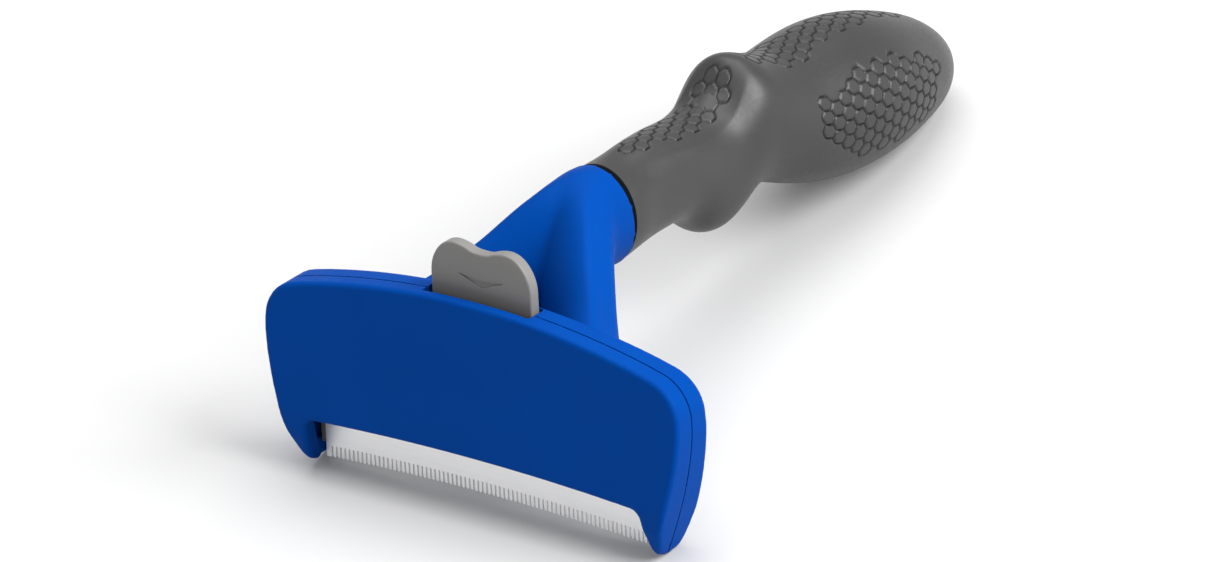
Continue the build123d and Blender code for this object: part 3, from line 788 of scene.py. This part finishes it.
def noise(tree, scale, detail, stretch=None):
    place = tree.nodes.new("ShaderNodeTexCoord")
    texture = tree.nodes.new("ShaderNodeTexNoise")
    texture.inputs["Scale"].default_value = scale
    texture.inputs["Detail"].default_value = detail
    if stretch:
        mapping = tree.nodes.new("ShaderNodeMapping")
        mapping.inputs["Scale"].default_value = stretch
        link(tree, place.outputs["Object"], mapping.inputs["Vector"])
        link(tree, mapping.outputs["Vector"], texture.inputs["Vector"])
    else:
        link(tree, place.outputs["Object"], texture.inputs["Vector"])
    return texture.outputs["Fac"]


def ramp(tree, source, first, last):
    """Blends from one colour to another over a source.  Each end is a place and its colour."""
    node = tree.nodes.new("ShaderNodeValToRGB")
    for element, (position, colour) in zip(node.color_ramp.elements, (first, last)):
        element.position = position
        element.color = colour
    link(tree, source, node.inputs["Fac"])
    return node.outputs["Color"]


def grey(value):
    return (value, value, value, 1)


def darkened(tree, colour, name, dark):
    """Mixes a colour towards a dark one by a point attribute; this is how shade is painted where the attribute is
    high.
    """
    mark = tree.nodes.new("ShaderNodeAttribute")
    mark.attribute_name = name
    mixer = tree.nodes.new("ShaderNodeMix")
    mixer.data_type = "RGBA"
    factor, first, second = mixer.inputs[0], mixer.inputs[6], mixer.inputs[7]
    second.default_value = dark
    link(tree, mark.outputs["Fac"], factor)
    link(tree, colour, first)
    return mixer.outputs[2]


def bump(tree, shader, source, strength, distance):
    node = tree.nodes.new("ShaderNodeBump")
    node.inputs["Strength"].default_value = strength
    node.inputs["Distance"].default_value = distance
    link(tree, source, node.inputs["Height"])
    link(tree, node.outputs["Normal"], shader.inputs["Normal"])


CLOUD, FINE, GRAIN = 60, 900, 2200           # scales of a plastic's noises
GRAIN_HEIGHT = 0.00005


def plastic(dark, light, rough, grain, shine, shaded_grooves=False):
    """A moulded plastic: two near colours, a range of roughness, a fine grain and its specular, and, if asked,
    painted shade in its grooves.
    """
    def build(tree, shader):
        colour = ramp(tree, noise(tree, CLOUD, 2), (0.3, dark), (0.7, light))
        if shaded_grooves:
            # painted shade: points in the honeycomb's grooves are darkened almost to black, standing in for the
            # shade inside them
            colour = darkened(tree, colour, "groove", grey(0.004))
        link(tree, colour, shader.inputs["Base Color"])
        shader.inputs["Specular IOR Level"].default_value = shine
        roughness = ramp(tree, noise(tree, FINE, 2), (0.3, grey(rough[0])), (0.7, grey(rough[1])))
        link(tree, roughness, shader.inputs["Roughness"])
        bump(tree, shader, noise(tree, GRAIN, 3), grain, GRAIN_HEIGHT)
    return build


def steel(tree, shader):
    """Ground steel, with streaks along the blade."""
    streaks = noise(tree, 40, 4, (1.0, 30.0, 30.0))
    colour = ramp(tree, streaks, (0.25, grey(0.90)), (0.75, grey(0.94)))
    roughness = ramp(tree, streaks, (0.25, grey(0.44)), (0.75, grey(0.52)))
    link(tree, colour, shader.inputs["Base Color"])
    link(tree, roughness, shader.inputs["Roughness"])
    shader.inputs["Metallic"].default_value = 0.85


blue = plastic(
    (0.0, 0.044, 0.26, 1), (0.0, 0.048, 0.275, 1), rough=(0.42, 0.5), grain=0.05, shine=0.02
)
warm_grey = plastic(
    (0.168, 0.165, 0.160, 1), (0.180, 0.177, 0.171, 1), rough=(0.42, 0.5), grain=0.08, shine=0.4
)
# the soft grip, with painted shade in its honeycomb's grooves
soft = plastic(
    grey(0.028), grey(0.032), rough=(0.36, 0.44), grain=0.1, shine=0.42, shaded_grooves=True
)
dark_grey = plastic(grey(0.02), grey(0.03), rough=(0.5, 0.6), grain=0.1, shine=0.4)
screw_steel = material("screw_steel", steel)
looks = {
    "blue_plastic": material("blue_moulding", blue),
    "grey_plastic": material("grey_moulding", warm_grey),
    "soft_grip": material("soft_grip", soft),
    "core_plastic": material("core_plastic", dark_grey),
    "ground_steel": material("ground_steel", steel),
    "spring_steel": screw_steel,
    "screw_steel": screw_steel,
}
slot_of = {row["node"]: row["material_slot"] for row in record["subparts"]}
for name, node in nodes.items():
    node.data.materials.clear()
    node.data.materials.append(looks[slot_of[name]])
for piece, name in ((front_cover, "blue_plastic"), (rear_shell, "blue_plastic"), (grip, "soft_grip")):
    piece.data.materials.append(looks[name])

# ---- floor, light and camera --------------------------------------------------------------------
FLOOR_REACH = 12.0           # metres from the middle to each edge
FLOOR_CORNERS = [(-1, -1), (1, -1), (1, 1), (-1, 1)]


def pale(tree, shader):
    colour = ramp(tree, noise(tree, 3, 2), (0.3, grey(0.56)), (0.7, grey(0.57)))
    link(tree, colour, shader.inputs["Base Color"])
    shader.inputs["Roughness"].default_value = 0.9


floor_mesh = bpy.data.meshes.new("floor")
floor_points = [(x * FLOOR_REACH, y * FLOOR_REACH, 0) for x, y in FLOOR_CORNERS]
floor_mesh.from_pydata(floor_points, [], [(0, 1, 2, 3)])
floor_mesh.materials.append(material("floor", pale))
floor = bpy.data.objects.new("floor", floor_mesh)
bpy.context.scene.collection.objects.link(floor)

world = bpy.data.worlds.new("studio")
bpy.context.scene.world = world
world.use_nodes = True
background = world.node_tree.nodes["Background"]
background.inputs["Color"].default_value = (1, 1, 1, 1)
background.inputs["Strength"].default_value = 0.5
bpy.context.scene.view_settings.view_transform = "Standard"

# The camera stands at 37 degrees round from the front face and 21 degrees above the grip's line,
# measured from the tool itself, a long way off.
AZIMUTH, ELEVATION = math.radians(37), math.radians(21)
VIEW_WIDTH = 302.3           # millimetres across the picture at the tool
VIEW_RIGHT, VIEW_UP = 35.4, 43.5             # the picture's middle, from the front face's foot
TOOL_MIDDLE = np.array([0, 95.0, 40.0])      # across, back along the grip and up
LENS, SENSOR = 700.0, 36.0


def turned(v):
    """A direction given across, back and up along the tool, in the row frame."""
    return v[0] * ACROSS - v[1] * grip_front + v[2] * grip_up


level = math.cos(ELEVATION)
toward = np.array([math.sin(AZIMUTH) * level, -math.cos(AZIMUTH) * level, math.sin(ELEVATION)])
right = np.array([math.cos(AZIMUTH), math.sin(AZIMUTH), 0.0])
toward, right, up = turned(toward), turned(right), turned(np.cross(toward, right))
aim = grip_foot + right * VIEW_RIGHT + up * VIEW_UP
middle = turned(TOOL_MIDDLE) + grip_foot
aim = aim + toward * float(np.dot(middle - aim, toward))
camera = bpy.data.objects.new("camera", bpy.data.cameras.new("camera"))
bpy.context.scene.collection.objects.link(camera)
camera.data.lens = LENS
camera.data.sensor_width = SENSOR
distance = VIEW_WIDTH * LENS / SENSOR
camera.data.clip_start, camera.data.clip_end = 1.0, 60.0
place = (aim + toward * distance) * MM
camera.matrix_world = Matrix((
    (right[0], up[0], toward[0], place[0]),
    (right[1], up[1], toward[1], place[1]),
    (right[2], up[2], toward[2], place[2]),
    (0, 0, 0, 1),
))
bpy.context.scene.camera = camera


LIT = Vector((0, 0, 0.03))   # what every lamp points at


def lamp(name, where, size, energy):
    """A soft lamp that the camera can't see, pointing at the tool."""
    data = bpy.data.lights.new(name, "AREA")
    data.shape = "RECTANGLE"
    data.size, data.size_y = size
    data.energy = energy
    light = bpy.data.objects.new(name, data)
    bpy.context.scene.collection.objects.link(light)
    light.location = where
    light.rotation_mode = "QUATERNION"
    light.visible_camera = False
    light.rotation_quaternion = (LIT - Vector(where)).to_track_quat("-Z", "Y")


lamp("key", (1.6, 0.4, 1.3), (1.4, 1.4), 64)
lamp("top", (-0.3, 0.5, 1.9), (2.0, 2.0), 36)
lamp("fill", (-1.2, -1.0, 0.8), (1.0, 1.0), 2)
